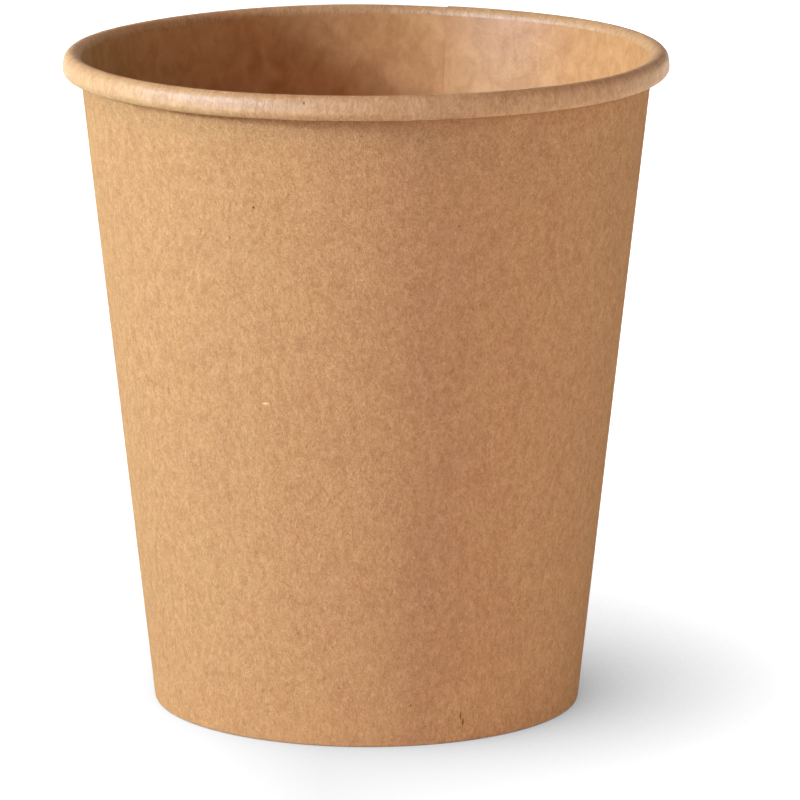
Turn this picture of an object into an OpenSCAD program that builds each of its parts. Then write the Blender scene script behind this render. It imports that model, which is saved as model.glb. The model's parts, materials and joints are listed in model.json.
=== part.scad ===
// Single-wall paper hot cup: a fan-shaped blank wrapped into a cone and lapped at a side seam,
// its top edge rolled outward into a hollow brim, its bottom edge turned in round a recessed bottom.
// Millimetres. The origin is the centre of the foot on the table, and +Z is the cup's axis.

/* [Cup] */
// Outside diameter over the rolled brim
rim_d = 73; // [62:0.5:100]
// Height from the table to the top of the brim
cup_h = 80; // [50:1:160]
// Outside diameter of the foot
foot_d = 52; // [36:0.5:62]

/* [Board] */
// Thickness of the side blank's board
wall_t = 0.3; // [0.2:0.05:0.4]
// Thickness of the bottom's board
bottom_t = 0.3; // [0.2:0.05:0.5]
// Room for the sealing film between wall, skirt and hem
seal_gap = 0.05; // [0.03:0.01:0.1]

/* [Rolled brim] */
// Width of the roll over its rounded top
roll_w = 2.3; // [1.8:0.1:3.5]
// Height of the straight outer band that a lid grips
lid_band = 0.75; // [0.3:0.05:3]
// Length of the edge that is tucked up inside the roll
tuck_l = 0.5; // [0.1:0.1:0.9]
// Gap between the tucked edge and the wall
tuck_gap = 0.1; // [0.05:0.05:0.3]

/* [Bottom] */
// Height of the bottom's underside above the table
recess_h = 7.2; // [4:0.2:15]
// Outside radius of the bend from the bottom into its skirt
bend_r = 0.8; // [0.6:0.1:2]
// Distance from the hem's raw edge up to the start of that bend
hem_drop = 0.6; // [0.2:0.1:2]

/* [Side seam] */
// Width of the lap, measured round the brim
lap_w = 6.6; // [3:0.1:14]
// Length over which the outer layer eases down beside the lap, round the brim
ease_w = 4.8; // [2:0.1:12]
// Direction of the inner layer's raw edge, from +X towards +Y
seam_deg = 73; // [0:1:359]

/* [Hidden] */
$fn = 180;
// Angle of one step along an arc of the section
arc_step = 12;
// Steps along the stretch where the outer layer eases down, each too small to see
ease_steps = 5;
// Smallest radius left inside the doubled roll
hollow_r = 0.05;
rim_r = rim_d / 2;
foot_r = foot_d / 2;
// The roll's top arc: its outside radius and its centre, as [radius, height]
roll_r = roll_w / 2;
roll_c = [rim_r - roll_r, cup_h - roll_r];
// A fold pressed flat is as round outside as the board is thick
fold_r = wall_t;
// The foot across its layers: wall, skirt and hem
foot_w = 2 * wall_t + bottom_t + 2 * seal_gap;
// The wall runs from the foot's outer corner to where it meets the roll's top arc
foot_to_roll = roll_c - [foot_r, 0];
taper = atan2(foot_to_roll.x, foot_to_roll.y) - asin((roll_r - wall_t) / norm(foot_to_roll));
up = [sin(taper), cos(taper)];
inward = [-cos(taper), sin(taper)];
// The bottom's top face, the centre of its bend and the hem's raw edge
floor_z = recess_h + bottom_t;
bend_z = floor_z - bend_r;
hem_h = bend_z - hem_drop;
// The seam's stretches as angles, in whole hundredths of a degree so that neighbours meet exactly
lap_deg = turn_of(lap_w);
ease_step = turn_of(ease_w / ease_steps);
ease_deg = ease_step * ease_steps;

// Angle that a length round the brim spans
function turn_of(length) = round(length / rim_r * 180 / PI * 100) / 100;

// Point of the section that is "along" the wall from the foot, and "deep" inside its outer face
function on_wall(along, deep) = [foot_r, 0] + along * up + deep * inward;

// The same, found by its height above the table
function wall_at(z, deep) = [foot_r + z * tan(taper) - deep / cos(taper), z];

// Points along an arc of the section
function arc(centre, radius, from, to) =
    let (steps = ceil(abs(to - from) / arc_step))
    [for (i = [0 : steps]) let (a = from + (to - from) * i / steps) centre + radius * [cos(a), sin(a)]];

// Outside radius of an arc of the roll that reaches from the lid band to "gap" off the wall's outer
// face, with its centre "drop" below that of the roll's top
function roll_arc_r(gap, drop) =
    (foot_to_roll.x + roll_r - (foot_to_roll.y - drop) * tan(taper) - gap / cos(taper))
    / (1 / cos(taper) + 1);

// One face of the sheet from the top of the wall round the roll to its tucked edge. A face at
// depth "deep" lies on the roll's outside when it lies on the wall's inside. The outside is true to
// the lid band all the way round, as the curling die leaves it.
function roll_face(deep, outer, inner) =
    let (
        top = roll_arc_r(-inner, 0),
        under = roll_arc_r(tuck_gap - outer, lid_band),
        under_c = [rim_r - under, roll_c.y - lid_band],
        under_radius = max(under - inner + deep, hollow_r),
        tuck = under_c + under_radius * inward + tuck_l * up
    )
    concat(
        arc([rim_r - top, roll_c.y], max(top - inner + deep, hollow_r), 180 - taper, 0),
        arc(under_c, under_radius, 0, -180 - taper),
        [tuck]
    );

// The sheet's outer face, from the hem's raw edge round the fold and up to the tucked edge
function outer_face(outer, inner) = concat(
    [on_wall(hem_h / up.y, foot_w - outer)],
    arc(wall_at(fold_r, foot_w - outer - fold_r), fold_r, -180 - taper, -90),
    arc(wall_at(fold_r, outer + fold_r), fold_r, -90, -taper),
    roll_face(outer, outer, inner)
);

// The sheet's inner face, which holds the bottom's skirt in the fold
function inner_face(outer, inner) = concat(
    [on_wall(hem_h / up.y, foot_w - inner)],
    [wall_at(wall_t, foot_w - inner)],
    [wall_at(wall_t, inner)],
    roll_face(inner, outer, inner)
);

// Closed section between two depths of the sheet
function section(outer, inner) =
    let (back = inner_face(outer, inner))
    concat(outer_face(outer, inner), [for (i = [len(back) - 1 : -1 : 0]) back[i]]);

// Part of the wall turned about the axis, at a constant number of layers
module turned(outer, inner, from, degrees) {
    rotate_extrude(angle = degrees, start = from)
        polygon(section(outer, inner));
}

// Stretch beside the lap where the outer layer eases down by one thickness, in equal steps
module eased() {
    for (k = [0 : ease_steps - 1]) {
        down = (k + 1) / (ease_steps + 1);
        turned(wall_t * (down - 1), wall_t * down, seam_deg + ease_step * k, ease_step);
    }
}

// Side blank with its seam: one layer most of the way round, two at the lap
module side_wall() {
    color("#C99A68") {
        turned(0, wall_t, seam_deg + ease_deg, 360 - ease_deg - lap_deg);
        turned(-wall_t, wall_t, seam_deg - lap_deg, lap_deg);
        eased();
    }
}

// Round bottom with its edge turned down into a skirt
module bottom_disc() {
    out = wall_t + seal_gap;
    bend_c = wall_at(bend_z, out + bend_r);
    color("#BC8D5E")
        rotate_extrude()
            polygon(concat(
                [[0, recess_h]],
                arc(bend_c, bend_r - bottom_t, 90, -taper),
                [wall_at(out, out + bottom_t)],
                [wall_at(out, out)],
                arc(bend_c, bend_r, -taper, 90),
                [[0, floor_z]]
            ));
}

side_wall();
bottom_disc();
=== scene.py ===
import json
import math

import bpy
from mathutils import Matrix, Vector


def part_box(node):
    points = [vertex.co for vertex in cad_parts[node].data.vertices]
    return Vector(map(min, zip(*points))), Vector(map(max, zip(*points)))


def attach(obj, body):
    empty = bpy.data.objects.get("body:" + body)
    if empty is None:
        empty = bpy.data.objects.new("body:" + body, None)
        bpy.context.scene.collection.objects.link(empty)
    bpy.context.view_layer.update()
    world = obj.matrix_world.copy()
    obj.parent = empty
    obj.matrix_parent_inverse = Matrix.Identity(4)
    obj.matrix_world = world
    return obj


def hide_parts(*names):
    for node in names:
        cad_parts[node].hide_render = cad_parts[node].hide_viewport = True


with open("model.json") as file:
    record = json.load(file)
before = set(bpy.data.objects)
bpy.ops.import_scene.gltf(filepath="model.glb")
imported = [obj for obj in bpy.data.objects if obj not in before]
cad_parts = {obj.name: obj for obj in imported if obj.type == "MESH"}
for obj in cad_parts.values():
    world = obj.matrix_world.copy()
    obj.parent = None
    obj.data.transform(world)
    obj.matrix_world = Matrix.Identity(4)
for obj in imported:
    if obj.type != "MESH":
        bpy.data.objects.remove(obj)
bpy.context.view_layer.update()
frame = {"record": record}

# Side wall: one fan-shaped blank of natural kraft board with a thin moisture-proof film on its inner
# face. It is wrapped into a cone, lapped and heat-sealed at one seam, its top edge rolled outward into
# a hollow brim, and its bottom edge folded in and up as a knurled hem that clinches the bottom.
lid_seat = next(m for m in frame["record"]["mounts"] if m["name"] == "lid_seat")
rim_radius = lid_seat["dims"]["r_mm"] / 1000
lid_band = lid_seat["dims"]["length_mm"] / 1000
cup_height = round(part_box("side_wall")[1].z, 4)
foot_radius = 0.026
wall_board = 0.0003
bottom_board = 0.0003
seal_gap = 0.00005
roll_width = 0.0023
tuck_length = 0.0005
tuck_gap = 0.0001
recess_height = 0.0072
bend_radius = 0.0008
hem_drop = 0.0006
seam_angle = math.radians(73)
lap_angle = 0.0066 / rim_radius
ease_angle = 0.014 / rim_radius
cut_angle = 0.0001 / rim_radius
just_before_edge = -1e-6

roll_radius = roll_width / 2
roll_centre = Vector((rim_radius - roll_radius, cup_height - roll_radius))
foot_to_roll = roll_centre - Vector((foot_radius, 0))
roll_side = math.asin((roll_radius - wall_board) / foot_to_roll.length)
taper = math.atan2(foot_to_roll.x, foot_to_roll.y) - roll_side
lean = math.degrees(taper)
up_wall = Vector((math.sin(taper), math.cos(taper)))
into_wall = Vector((-math.cos(taper), math.sin(taper)))
foot_width = 2 * wall_board + bottom_board + 2 * seal_gap
bend_height = recess_height + bottom_board - bend_radius
hem_height = bend_height - hem_drop

columns = 720
upper_roll_steps = 14
lower_roll_steps = 16
wall_steps = 12
fold_steps = 5
hem_steps = 8
crease_angle = math.radians(40)


def wall_at(height, deep):
    """Point of the section at a height above the table, that deep inside the wall's outer face."""
    return Vector((foot_radius + height * math.tan(taper) - deep / math.cos(taper), height))


def along(start, end, steps):
    """Points from start towards end, without end itself."""
    return [start.lerp(end, i / steps) for i in range(steps)]


def arc(centre, radius, start, end, steps):
    """Points of an arc of the section, from one angle in degrees to another."""
    turns = [math.radians(start + (end - start) * i / steps) for i in range(steps + 1)]
    return [centre + radius * Vector((math.cos(a), math.sin(a))) for a in turns]


def roll_arc_radius(gap, drop):
    """Outside radius of an arc of the roll that reaches from the lid band to that far off the wall."""
    room = rim_radius - foot_radius - (roll_centre.y - drop) * math.tan(taper)
    return (room - gap / math.cos(taper)) / (1 / math.cos(taper) + 1)


def roll_face(deep, outer, inner):
    """One face of the sheet round the brim's roll, from the top of the wall to its tucked edge."""
    top = roll_arc_radius(-inner, 0)
    under = roll_arc_radius(tuck_gap - outer, lid_band)
    top_centre = Vector((rim_radius - top, roll_centre.y))
    under_centre = Vector((rim_radius - under, roll_centre.y - lid_band))
    upper = arc(top_centre, top - inner + deep, 180 - lean, 0, upper_roll_steps)
    lower = arc(under_centre, under - inner + deep, 0, -180 - lean, lower_roll_steps)
    return upper + lower + [lower[-1] + tuck_length * up_wall]


def hem_edge(deep):
    """The hem's raw edge, that deep inside the wall's outer face."""
    return Vector((foot_radius, 0)) + hem_height / up_wall.y * up_wall + deep * into_wall


def outer_face(outer, inner):
    """The sheet's outer face, from the hem's raw edge round the fold and up to the tucked edge."""
    fold = wall_board
    inner_turn = arc(wall_at(fold, foot_width - outer - fold), fold, -180 - lean, -90, fold_steps)
    outer_turn = arc(wall_at(fold, outer + fold), fold, -90, -lean, fold_steps)
    roll = roll_face(outer, outer, inner)
    hem = along(hem_edge(foot_width - outer), inner_turn[0], hem_steps)
    return hem + inner_turn + outer_turn[:-1] + along(outer_turn[-1], roll[0], wall_steps) + roll


def inner_face(outer, inner):
    """The sheet's inner face, which holds the bottom's skirt in the fold."""
    hem_foot = wall_at(wall_board, foot_width - inner)
    wall_foot = wall_at(wall_board, inner)
    roll = roll_face(inner, outer, inner)
    hem = along(hem_edge(foot_width - inner), hem_foot, hem_steps // 2)
    return hem + [hem_foot] + along(wall_foot, roll[0], wall_steps) + roll


def clamped(share):
    """Keeps a share between nought and one."""
    return min(max(share, 0), 1)


def smooth(share):
    """Eases from nought to one."""
    share = clamped(share)
    return share * share * (3 - 2 * share)


def layers(turn):
    """Depths of the sheet's outer and inner face at an angle beyond the seam's inner raw edge."""
    if turn < 0:
        return -wall_board, wall_board
    if turn < cut_angle:
        return -wall_board, wall_board * (1 - turn / cut_angle)
    if turn < ease_angle:
        down = smooth(turn / ease_angle)
        return wall_board * (down - 1), wall_board * down
    edge = math.tau - lap_angle - cut_angle
    if turn > edge:
        return -wall_board * (turn - edge) / cut_angle, wall_board
    return 0.0, wall_board


knurl_count = 180
knurl_depth = 0.00006
knurl_low = 0.0008
knurl_top = hem_height - 0.0003
knurl_fade = 0.0006


def knurled(angle, height):
    """How far the knurling wheel pushed the hem's face outwards."""
    band = clamped((height - knurl_low) / knurl_fade) * clamped((knurl_top - height) / knurl_fade)
    return knurl_depth * band * (0.5 + 0.5 * math.cos(angle * knurl_count))


oval_reach = 0.00022
ripple_reach = 0.00006
level_reach = 0.00007


def uneven(angle, height):
    """How far a hand-held paper cup is out of round and out of level: radial and upward."""
    share = height / cup_height
    oval = oval_reach * (1.6 * share - 0.6) * math.cos(2 * angle - math.radians(70))
    ripple = ripple_reach * share ** 3 * (math.sin(5 * angle + 0.7) + 0.6 * math.sin(9 * angle + 2.1))
    level = level_reach * share ** 6 * (math.sin(2 * angle - 0.9) + 0.7 * math.sin(4 * angle + 0.4))
    return oval + ripple, level


brim_lean = 0.0001
lean_from_rim = 0.0011
lean_rim_fade = 0.0008
lean_from_top = 0.0022
lean_top_fade = 0.0014


def leaned(radius, height):
    """How far the brim's outer face leans in towards its top."""
    face = smooth((radius - rim_radius + lean_from_rim) / lean_rim_fade)
    return -brim_lean * face * smooth((height - cup_height + lean_from_top) / lean_top_fade)


def paper_piece(name, points, faces):
    """A piece of the cup from its mesh, smooth apart from its raw edges."""
    mesh = bpy.data.meshes.new(name)
    mesh.from_pydata(points, [], faces)
    mesh.shade_smooth()
    mesh.set_sharp_from_angle(angle=crease_angle)
    mesh.update()
    piece = bpy.data.objects.new(name, mesh)
    bpy.context.scene.collection.objects.link(piece)
    return piece


outside, inside, cut_edge, brim = range(4)


def make_side_wall():
    """The whole sheet as one closed mesh, swept round the axis from the seam's outer raw edge.

    Two close turns at each raw edge of the seam give the cut its own narrow faces.
    """
    evenly = {i * math.tau / columns - lap_angle for i in range(columns)}
    turns = sorted(evenly | {-lap_angle, just_before_edge, cut_angle, math.tau - lap_angle - cut_angle})
    points = []
    for turn in turns:
        outer, inner = layers(turn)
        front = outer_face(outer, inner)
        back = inner_face(outer, inner)
        angle = seam_angle + turn
        for i, p in enumerate(front + back[::-1]):
            out, rise = uneven(angle, p.y)
            if i <= hem_steps:
                out += knurled(angle, p.y)
            radius = p.x + out + leaned(p.x, p.y)
            points.append((radius * math.cos(angle), radius * math.sin(angle), p.y + rise))
    size = len(front) + len(back)
    tucked_edge = len(front) - 1
    brim_end = tucked_edge + len(roll_face(wall_board, 0, wall_board))
    faces = []
    finish = []
    for k, turn in enumerate(turns):
        near, far = k * size, (k + 1) % len(turns) * size
        at_outer_edge = k == len(turns) - 1
        at_inner_edge = turn == just_before_edge
        for i in range(size):
            j = (i + 1) % size
            faces.append((near + i, far + i, far + j, near + j))
            if i < tucked_edge:
                finish.append(cut_edge if at_outer_edge else outside)
            elif i == tucked_edge:
                finish.append(cut_edge)
            elif i < brim_end:
                finish.append(cut_edge if at_inner_edge else brim)
            else:
                finish.append(outside if i == size - 1 else inside)
    wall = paper_piece("wrapped_side_wall", points, faces)
    wall.data.polygons.foreach_set("material_index", finish)
    return wall


def from_srgb(*screen):
    """A colour given in screen values from 0 to 255, as linear light."""
    return (*[((value / 255 + 0.055) / 1.055) ** 2.4 for value in screen], 1)


def feed(tree, entry, value):
    """Sets a socket to a plain value, or joins another socket to it."""
    if isinstance(value, bpy.types.NodeSocket):
        tree.links.new(value, entry)
    else:
        entry.default_value = value


def computed(tree, operation, *values):
    """One step of arithmetic."""
    step = tree.nodes.new("ShaderNodeMath")
    step.operation = operation
    for entry, value in zip(step.inputs, values):
        feed(tree, entry, value)
    return step.outputs["Value"]


def stretched(tree, value, low, high):
    """A value as a share of the way from low to high, from nought to one."""
    change = tree.nodes.new("ShaderNodeMapRange")
    for socket, given in (("Value", value), ("From Min", low), ("From Max", high)):
        feed(tree, change.inputs[socket], given)
    return change.outputs["Result"]


def mixed(tree, kind, share, first, second):
    """Two colours, mixed or multiplied."""
    mix = tree.nodes.new("ShaderNodeMix")
    mix.data_type = "RGBA"
    mix.blend_type = kind
    entries = {entry.identifier: entry for entry in mix.inputs}
    for socket, value in (("Factor_Float", share), ("A_Color", first), ("B_Color", second)):
        feed(tree, entries[socket], value)
    return next(s for s in mix.outputs if s.identifier == "Result_Color")


def place_on_blank(tree, drawn_out):
    """Where a point lies on the flat blank: round from opposite the seam, and up, drawn out that much."""
    turned = tree.nodes.new("ShaderNodeMapping")
    turned.inputs["Rotation"].default_value = (0, 0, math.pi - seam_angle)
    feed(tree, turned.inputs["Vector"], tree.nodes.new("ShaderNodeTexCoord").outputs["Object"])
    apart = tree.nodes.new("ShaderNodeSeparateXYZ")
    feed(tree, apart.inputs["Vector"], turned.outputs["Vector"])
    x, y, height = apart.outputs
    around = computed(tree, "MULTIPLY", computed(tree, "ARCTAN2", y, x), rim_radius)
    out = computed(tree, "SQRT", computed(tree, "MULTIPLY_ADD", y, y, computed(tree, "MULTIPLY", x, x)))
    blank = tree.nodes.new("ShaderNodeCombineXYZ")
    feed(tree, blank.inputs["X"], around)
    feed(tree, blank.inputs["Y"], computed(tree, "MULTIPLY", out, drawn_out))
    feed(tree, blank.inputs["Z"], computed(tree, "MULTIPLY", height, drawn_out))
    return blank.outputs["Vector"]


noise_detail = 3


def noise(tree, place, scale, roughness, distortion):
    """Clouds of that many to the metre."""
    texture = tree.nodes.new("ShaderNodeTexNoise")
    texture.inputs["Detail"].default_value = noise_detail
    given = {"Vector": place, "Scale": scale, "Roughness": roughness, "Distortion": distortion}
    for socket, value in given.items():
        feed(tree, texture.inputs[socket], value)
    return texture.outputs["Fac"]


fibre_tint = (0.8, 1.07, 1.5)
fibre_spread = (0.3, 0.7)


def tinted(tree, tone, value, strength):
    """Makes thick places redder and darker, and thin ones paler and creamier, as fibres do."""
    redder = (*[1 - strength * part for part in fibre_tint], 1)
    creamier = (*[1 + strength * part for part in fibre_tint], 1)
    tint = mixed(tree, "MIX", stretched(tree, value, *fibre_spread), redder, creamier)
    return mixed(tree, "MULTIPLY", 1.0, tone, tint)


def specks(tree, place, scale, radius, share):
    """One inside small round specks, which only that share of the cells holds."""
    cells = tree.nodes.new("ShaderNodeTexVoronoi")
    cells.inputs["Scale"].default_value = scale
    feed(tree, cells.inputs["Vector"], place)
    near = stretched(tree, cells.outputs["Distance"], radius, radius * 0.5)
    kept = stretched(tree, cells.outputs["Color"], 1 - share, 1 - share + 0.01)
    return computed(tree, "MULTIPLY", near, kept)


mark_edge = (1.2, 0.5)


def mark(tree, place, across, up, half_length, half_height):
    """One inside a small soft oval at that place of the blank."""
    spot = tree.nodes.new("ShaderNodeMapping")
    spot.inputs["Location"].default_value = (-across / half_length, 0, -up / half_height)
    spot.inputs["Scale"].default_value = (1 / half_length, 0, 1 / half_height)
    feed(tree, spot.inputs["Vector"], place)
    off_spot = tree.nodes.new("ShaderNodeVectorMath")
    off_spot.operation = "LENGTH"
    feed(tree, off_spot.inputs[0], spot.outputs["Vector"])
    return stretched(tree, off_spot.outputs["Value"], *mark_edge)


# Painted shade in narrow corners: how far it looks for board, the openness it fades over, and its colour.
corner_reach = 0.003
corner_opening = (0.35, 0.9)
corner_shade_tint = (0.62, 0.5, 0.4, 1)


def painted_corner_shade(tree, tone):
    """Paints shade into the colour in narrow corners, where light goes from board to board."""
    corner = tree.nodes.new("ShaderNodeAmbientOcclusion")
    corner.samples = 8
    corner.only_local = True
    corner.inputs["Distance"].default_value = corner_reach
    painted_shade_tone = mixed(tree, "MULTIPLY", 1.0, tone, corner_shade_tint)
    return mixed(tree, "MIX", stretched(tree, corner.outputs["AO"], *corner_opening), painted_shade_tone, tone)


clouds_per_metre = 150
cloud_spread = (0.35, 0.65)
clumps_per_metre = 700
clump_relief = 1.5
fibres_per_metre = 2400

# Specks of the board: cells to the metre, size in a cell, share of the cells that hold one, and colour.
board_specks = (
    (420, 0.06, 0.12, (96, 62, 36)),
    (300, 0.07, 0.10, (236, 204, 160)),
)


def kraft_board(
        name, tans, roughness, shine, relief_depth, mottle, fibre, fineness, drawn_out=None, marks=()):
    """Unbleached board: two tans in faint clouds, matted fibres, specks, and marks on a wrapped piece."""
    material = bpy.data.materials.new(name)
    material.use_nodes = True
    tree = material.node_tree
    if drawn_out:
        place = place_on_blank(tree, drawn_out)
    else:
        place = tree.nodes.new("ShaderNodeTexCoord").outputs["Object"]
    clouds = stretched(tree, noise(tree, place, clouds_per_metre * fineness, 0.5, 0), *cloud_spread)
    clumps = noise(tree, place, clumps_per_metre * fineness, 0.6, 0.5)
    fibres = noise(tree, place, fibres_per_metre * fineness, 0.65, 1.2)
    tone = mixed(tree, "MIX", clouds, *[from_srgb(*tan) for tan in tans])
    tone = tinted(tree, tone, clumps, mottle)
    tone = tinted(tree, tone, fibres, fibre)
    for scale, radius, share, colour in board_specks:
        tone = mixed(tree, "MIX", specks(tree, place, scale, radius, share), tone, from_srgb(*colour))
    for across, up, half_length, half_height, colour in marks:
        shape = mark(tree, place, across, up * drawn_out, half_length, half_height * drawn_out)
        tone = mixed(tree, "MIX", shape, tone, from_srgb(*colour))
    board = tree.nodes["Principled BSDF"]
    # The base colour carries painted shade in narrow corners.
    feed(tree, board.inputs["Base Color"], painted_corner_shade(tree, tone))
    relief = tree.nodes.new("ShaderNodeBump")
    relief.inputs["Strength"].default_value = 1.0
    relief.inputs["Distance"].default_value = relief_depth
    feed(tree, relief.inputs["Height"], computed(tree, "MULTIPLY_ADD", clumps, clump_relief, fibres))
    feed(tree, board.inputs["Normal"], relief.outputs["Normal"])
    board.inputs["Roughness"].default_value = roughness
    board.inputs["Specular IOR Level"].default_value = shine
    return material


# Marks on the board: how far round from opposite the seam, how high on the cup, half length, half height
# and colour. On the wall they are a dark fleck, a pale fibre and a dark fleck, and then the shade of a
# crease, painted as two dark strokes.
wall_marks_and_crease_shade = (
    (-0.00399, 0.06614, 0.00018, 0.00014, (92, 58, 28)),
    (-0.00368, 0.04232, 0.0006, 0.00016, (250, 216, 172)),
    (0.01807, 0.00512, 0.00015, 0.00013, (110, 66, 34)),
    # Painted shade of a crease, in two dark strokes.
    (0.02679, 0.00331, 0.00016, 0.00056, (140, 92, 56)),
    (0.02728, 0.0025, 0.00017, 0.00053, (128, 82, 46)),
)
brim_marks = ((0.0036, 0.07929, 0.00012, 0.0002, (104, 72, 38)),)
wall_drawn_out = 0.8
brim_drawn_out = 0.45

side_wall = make_side_wall()
board_outside = kraft_board(
    "uncoated_kraft_board", ((210, 166, 117), (208, 162, 116)), roughness=0.8, shine=0.02,
    relief_depth=0.0002, mottle=0.11, fibre=0.24, fineness=1.3, drawn_out=wall_drawn_out, marks=wall_marks_and_crease_shade)
board_inside = kraft_board(
    "lined_kraft_board", ((211, 166, 119), (209, 162, 117)), roughness=0.42, shine=0.011,
    relief_depth=0.00004, mottle=0.15, fibre=0.05, fineness=0.6, drawn_out=wall_drawn_out)
board_cut = kraft_board(
    "cut_kraft_edge", ((168, 120, 78), (160, 112, 72)), roughness=0.9, shine=0.1,
    relief_depth=0.00004, mottle=0.1, fibre=0.2, fineness=1.0, drawn_out=wall_drawn_out)
board_brim = kraft_board(
    "rolled_kraft_brim", ((208, 171, 127), (205, 166, 124)), roughness=0.48, shine=0.04,
    relief_depth=0.00008, mottle=0.1, fibre=0.22, fineness=1.2, drawn_out=brim_drawn_out, marks=brim_marks)
for board in (board_outside, board_inside, board_cut, board_brim):
    side_wall.data.materials.append(board)
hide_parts("side_wall")
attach(side_wall, "root")

# Bottom: a round blank of the same board, pushed up inside the foot so that its edge turns down into
# a skirt. The skirt is sealed between the wall and the hem, and its turned edge keeps fine gathers.
bottom_columns = 480
disc_steps = 16
bend_steps = 8
hub_radius = 0.001
wave_height = 0.00008
sag_depth = 0.00012
gather_count = 120
gather_depth = 0.00003
gather_start = 0.9
gather_fade = 0.08


def make_bottom():
    """The bottom as one closed mesh: disc, bend and skirt, with its slight sag, waves and gathers."""
    skirt_deep = wall_board + seal_gap
    top_height = recess_height + bottom_board
    bend_centre = wall_at(bend_height, skirt_deep + bend_radius)
    disc_radius = bend_centre.x
    hub_top = Vector((hub_radius, top_height))
    under = along(Vector((hub_radius, recess_height)), Vector((disc_radius, recess_height)), disc_steps)
    inner_bend = arc(bend_centre, bend_radius - bottom_board, 90, -lean, bend_steps)
    skirt_foot = [wall_at(skirt_deep, skirt_deep + bottom_board), wall_at(skirt_deep, skirt_deep)]
    outer_bend = arc(bend_centre, bend_radius, -lean, 90, bend_steps)
    top = along(Vector((disc_radius, top_height)), hub_top, disc_steps)[1:] + [hub_top]
    section = under + inner_bend + skirt_foot + outer_bend + top
    points = []
    for k in range(bottom_columns):
        angle = math.tau * k / bottom_columns
        for p in section:
            share = p.x / disc_radius
            wave = wave_height * math.sin(math.pi * clamped(share)) * math.sin(2 * angle + 1 + 3 * share)
            sag = -sag_depth * math.cos(math.pi / 2 * clamped(share))
            gather = clamped((share - gather_start) / gather_fade) * math.cos(gather_count * angle)
            lift = wave + sag + gather_depth * gather if p.y > bend_height else 0
            points.append((p.x * math.cos(angle), p.x * math.sin(angle), p.y + lift))
    size = len(section)
    centre = len(points)
    points += [(0, 0, points[0][2]), (0, 0, points[size - 1][2])]
    faces = []
    for k in range(bottom_columns):
        near, far = k * size, (k + 1) % bottom_columns * size
        faces += [(near + i, near + i + 1, far + i + 1, far + i) for i in range(size - 1)]
        faces.append((centre, near, far))
        faces.append((centre + 1, far + size - 1, near + size - 1))
    return paper_piece("pressed_bottom", points, faces)


bottom = make_bottom()
board_bottom = kraft_board(
    "bottom_kraft_board", ((205, 160, 113), (203, 156, 112)), roughness=0.6, shine=0.2,
    relief_depth=0.00006, mottle=0.1, fibre=0.14, fineness=1.0)
bottom.data.materials.append(board_bottom)
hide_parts("bottom_disc")
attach(bottom, "root")

# Floor: a plain white table top. For the eye it glows white, with only a painted soft shadow to the right
# of the cup. Seen from below it is clear, and a hole that the foot covers lets light in, so that the foot
# can be seen.
table_radius = 5.0
table_drop = 0.00003
table_white = 0.82
hole_radius = 0.0255
hole_corners = 96
# The table's painted shadow: its reach, the side it opens to, and how it fades to both sides.
shadow_reach = 0.1
bright_side = (-0.58, -0.25, 0.78)
shadow_middle = 0.005
shadow_fade = 7.5
shadow_lift = 1.05


def shown_to_eye(tree):
    """One where a surface is seen straight, in a reflection or through something clear, else nought."""
    ray = tree.nodes.new("ShaderNodeLightPath").outputs
    straight_or_mirrored = computed(tree, "MAXIMUM", ray["Is Camera Ray"], ray["Is Glossy Ray"])
    return computed(tree, "MAXIMUM", straight_or_mirrored, ray["Is Transmission Ray"])


def chosen(tree, share, first, second):
    """The first shader where the share is nought, and the second where it is one."""
    choice = tree.nodes.new("ShaderNodeMixShader")
    for entry, value in zip(choice.inputs, (share, first, second)):
        feed(tree, entry, value)
    return choice.outputs["Shader"]


floor_mesh = bpy.data.meshes.new("white_floor")
ways = [math.tau * i / hole_corners for i in range(hole_corners)]
floor_rings = [(r * math.cos(a), r * math.sin(a), 0) for r in (hole_radius, table_radius) for a in ways]
next_corners = [*range(1, hole_corners), 0]
floor_slices = [(i, i + hole_corners, j + hole_corners, j) for i, j in enumerate(next_corners)]
floor_mesh.from_pydata(floor_rings, [], floor_slices)
floor = bpy.data.objects.new("white_floor", floor_mesh)
floor.location.z = -table_drop
bpy.context.scene.collection.objects.link(floor)
white = bpy.data.materials.new("white_floor")
white.use_nodes = True
floor_tree = white.node_tree
floor_tree.nodes.remove(floor_tree.nodes["Principled BSDF"])
lit = floor_tree.nodes.new("ShaderNodeBsdfDiffuse")
lit.inputs["Color"].default_value = (table_white, table_white, table_white, 1)
towards_light = floor_tree.nodes.new("ShaderNodeCombineXYZ")
for entry, number in zip(towards_light.inputs, bright_side):
    entry.default_value = number
painted_shadow_occlusion = floor_tree.nodes.new("ShaderNodeAmbientOcclusion")
painted_shadow_occlusion.samples = 16
painted_shadow_occlusion.inputs["Distance"].default_value = shadow_reach
feed(floor_tree, painted_shadow_occlusion.inputs["Normal"], towards_light.outputs["Vector"])
on_floor = floor_tree.nodes.new("ShaderNodeSeparateXYZ")
feed(floor_tree, on_floor.inputs["Vector"], floor_tree.nodes.new("ShaderNodeTexCoord").outputs["Object"])
to_side = computed(floor_tree, "ABSOLUTE", computed(floor_tree, "ADD", on_floor.outputs["X"], shadow_middle))
lift = computed(floor_tree, "MULTIPLY_ADD", to_side, shadow_fade, shadow_lift)
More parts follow.
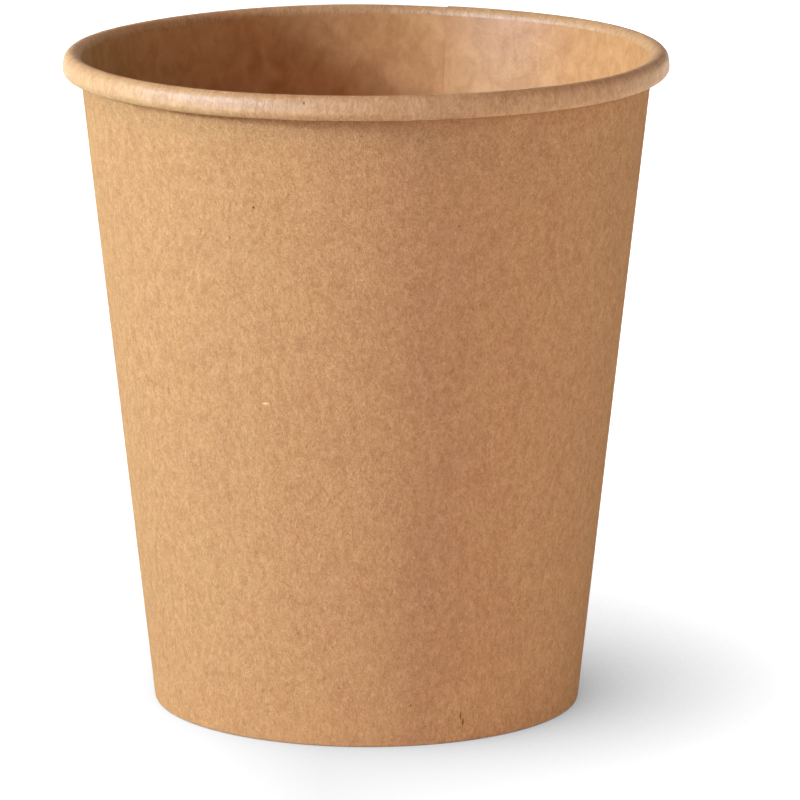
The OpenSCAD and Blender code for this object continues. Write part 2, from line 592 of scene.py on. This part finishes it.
# For the eye the table glows with this painted shadow, and not with the lamps' light.
shown = floor_tree.nodes.new("ShaderNodeEmission")
feed(floor_tree, shown.inputs["Strength"], computed(floor_tree, "MULTIPLY", painted_shadow_occlusion.outputs["AO"], lift))
clear = floor_tree.nodes.new("ShaderNodeBsdfTransparent")
from_above = chosen(floor_tree, shown_to_eye(floor_tree), lit.outputs["BSDF"], shown.outputs["Emission"])
from_below = floor_tree.nodes.new("ShaderNodeNewGeometry").outputs["Backfacing"]
table_top = chosen(floor_tree, from_below, from_above, clear.outputs["BSDF"])
feed(floor_tree, floor_tree.nodes["Material Output"].inputs["Surface"], table_top)
floor_mesh.materials.append(white)

# Light: a soft box on the left, a weaker warm one above the front left, a weak one on the right, and a
# small card near the table for the light that it throws back. A window on the left shows only as sheen,
# and a lamp under the table lights the foot through the hole. The room is seen as white.
middle = Vector((0, 0, cup_height / 2))
card_height = 0.03
card_middle = 0.016
room_light = 0.02


def soft_box(name, azimuth, elevation, distance, size, watts, tint):
    """A square lamp that faces the cup from that side. Azimuth 0 is the camera's, and left is negative."""
    lamp = bpy.data.lights.new(name, "AREA")
    lamp.shape = "SQUARE"
    lamp.size = size
    lamp.energy = watts
    lamp.color = tint
    box = bpy.data.objects.new(name, lamp)
    a, e = math.radians(azimuth), math.radians(elevation)
    towards = Vector((math.sin(a) * math.cos(e), -math.cos(a) * math.cos(e), math.sin(e)))
    box.location = middle + distance * towards
    box.rotation_euler = towards.to_track_quat("Z", "Y").to_euler()
    bpy.context.scene.collection.objects.link(box)
    return box


soft_box("left_soft_box", -72, 20, 1.0, 0.2, 10.0, (0.9, 1.0, 0.96))
soft_box("front_left_soft_box", -35, 55, 1.0, 0.4, 3.3, (1.0, 0.59, 0.52))
soft_box("right_soft_box", 90, 10, 1.0, 0.4, 1.6, (1.0, 1.0, 0.84))
low_card = soft_box("low_white_card", 40, 0, 0.2, 0.14, 0.11, (1.0, 0.8, 0.86))
low_card.data.shape = "RECTANGLE"
low_card.data.size_y = card_height
low_card.location.z = card_middle
window = soft_box("left_window_gloss", -62, 20, 1.0, 0.3, 310.0, (0.46, 0.68, 1.0))
window.visible_diffuse = False
foot_light = soft_box("light_under_the_foot", 0, -90, 0.1, 0.04, 0.035, (1.0, 0.97, 0.93))
for lamp in (low_card, window, foot_light):
    lamp.visible_camera = False

world = bpy.data.worlds.new("pale_room")
bpy.context.scene.world = world
world.use_nodes = True
room_tree = world.node_tree
room = room_tree.nodes["Background"]
seen_room = room_tree.nodes.new("ShaderNodeBackground")
for background, strength in ((room, room_light), (seen_room, 1.0)):
    background.inputs["Color"].default_value = (1, 1, 1, 1)
    background.inputs["Strength"].default_value = strength
whole_room = chosen(
    room_tree, shown_to_eye(room_tree), room.outputs["Background"], seen_room.outputs["Background"])
feed(room_tree, room_tree.nodes["World Output"].inputs["Surface"], whole_room)

# Camera: a long lens a little above the brim, panned so that the cup stands left of the middle.
camera_distance = 0.8005
camera_elevation = math.radians(11.82)
focal_pixels = 6577
picture_side = 800
cup_middle_pixel = (366.2, 373.7)
camera = bpy.data.cameras.new("camera")
camera.sensor_width = 36
camera.lens = camera.sensor_width * focal_pixels / picture_side
camera.clip_start = 0.01
camera.clip_end = 20
camera_object = bpy.data.objects.new("camera", camera)
bpy.context.scene.collection.objects.link(camera_object)
back = Vector((0, -math.cos(camera_elevation), math.sin(camera_elevation)))
right = Vector((1, 0, 0))
above = back.cross(right)
aim_right = (picture_side / 2 - cup_middle_pixel[0]) / focal_pixels * camera_distance
aim_down = (picture_side / 2 - cup_middle_pixel[1]) / focal_pixels * camera_distance
target = middle + aim_right * right - aim_down * above
camera_object.location = middle + camera_distance * back
camera_object.rotation_euler = (camera_object.location - target).to_track_quat("Z", "Y").to_euler()
bpy.context.scene.camera = camera_object
bpy.context.scene.view_settings.view_transform = "Standard"
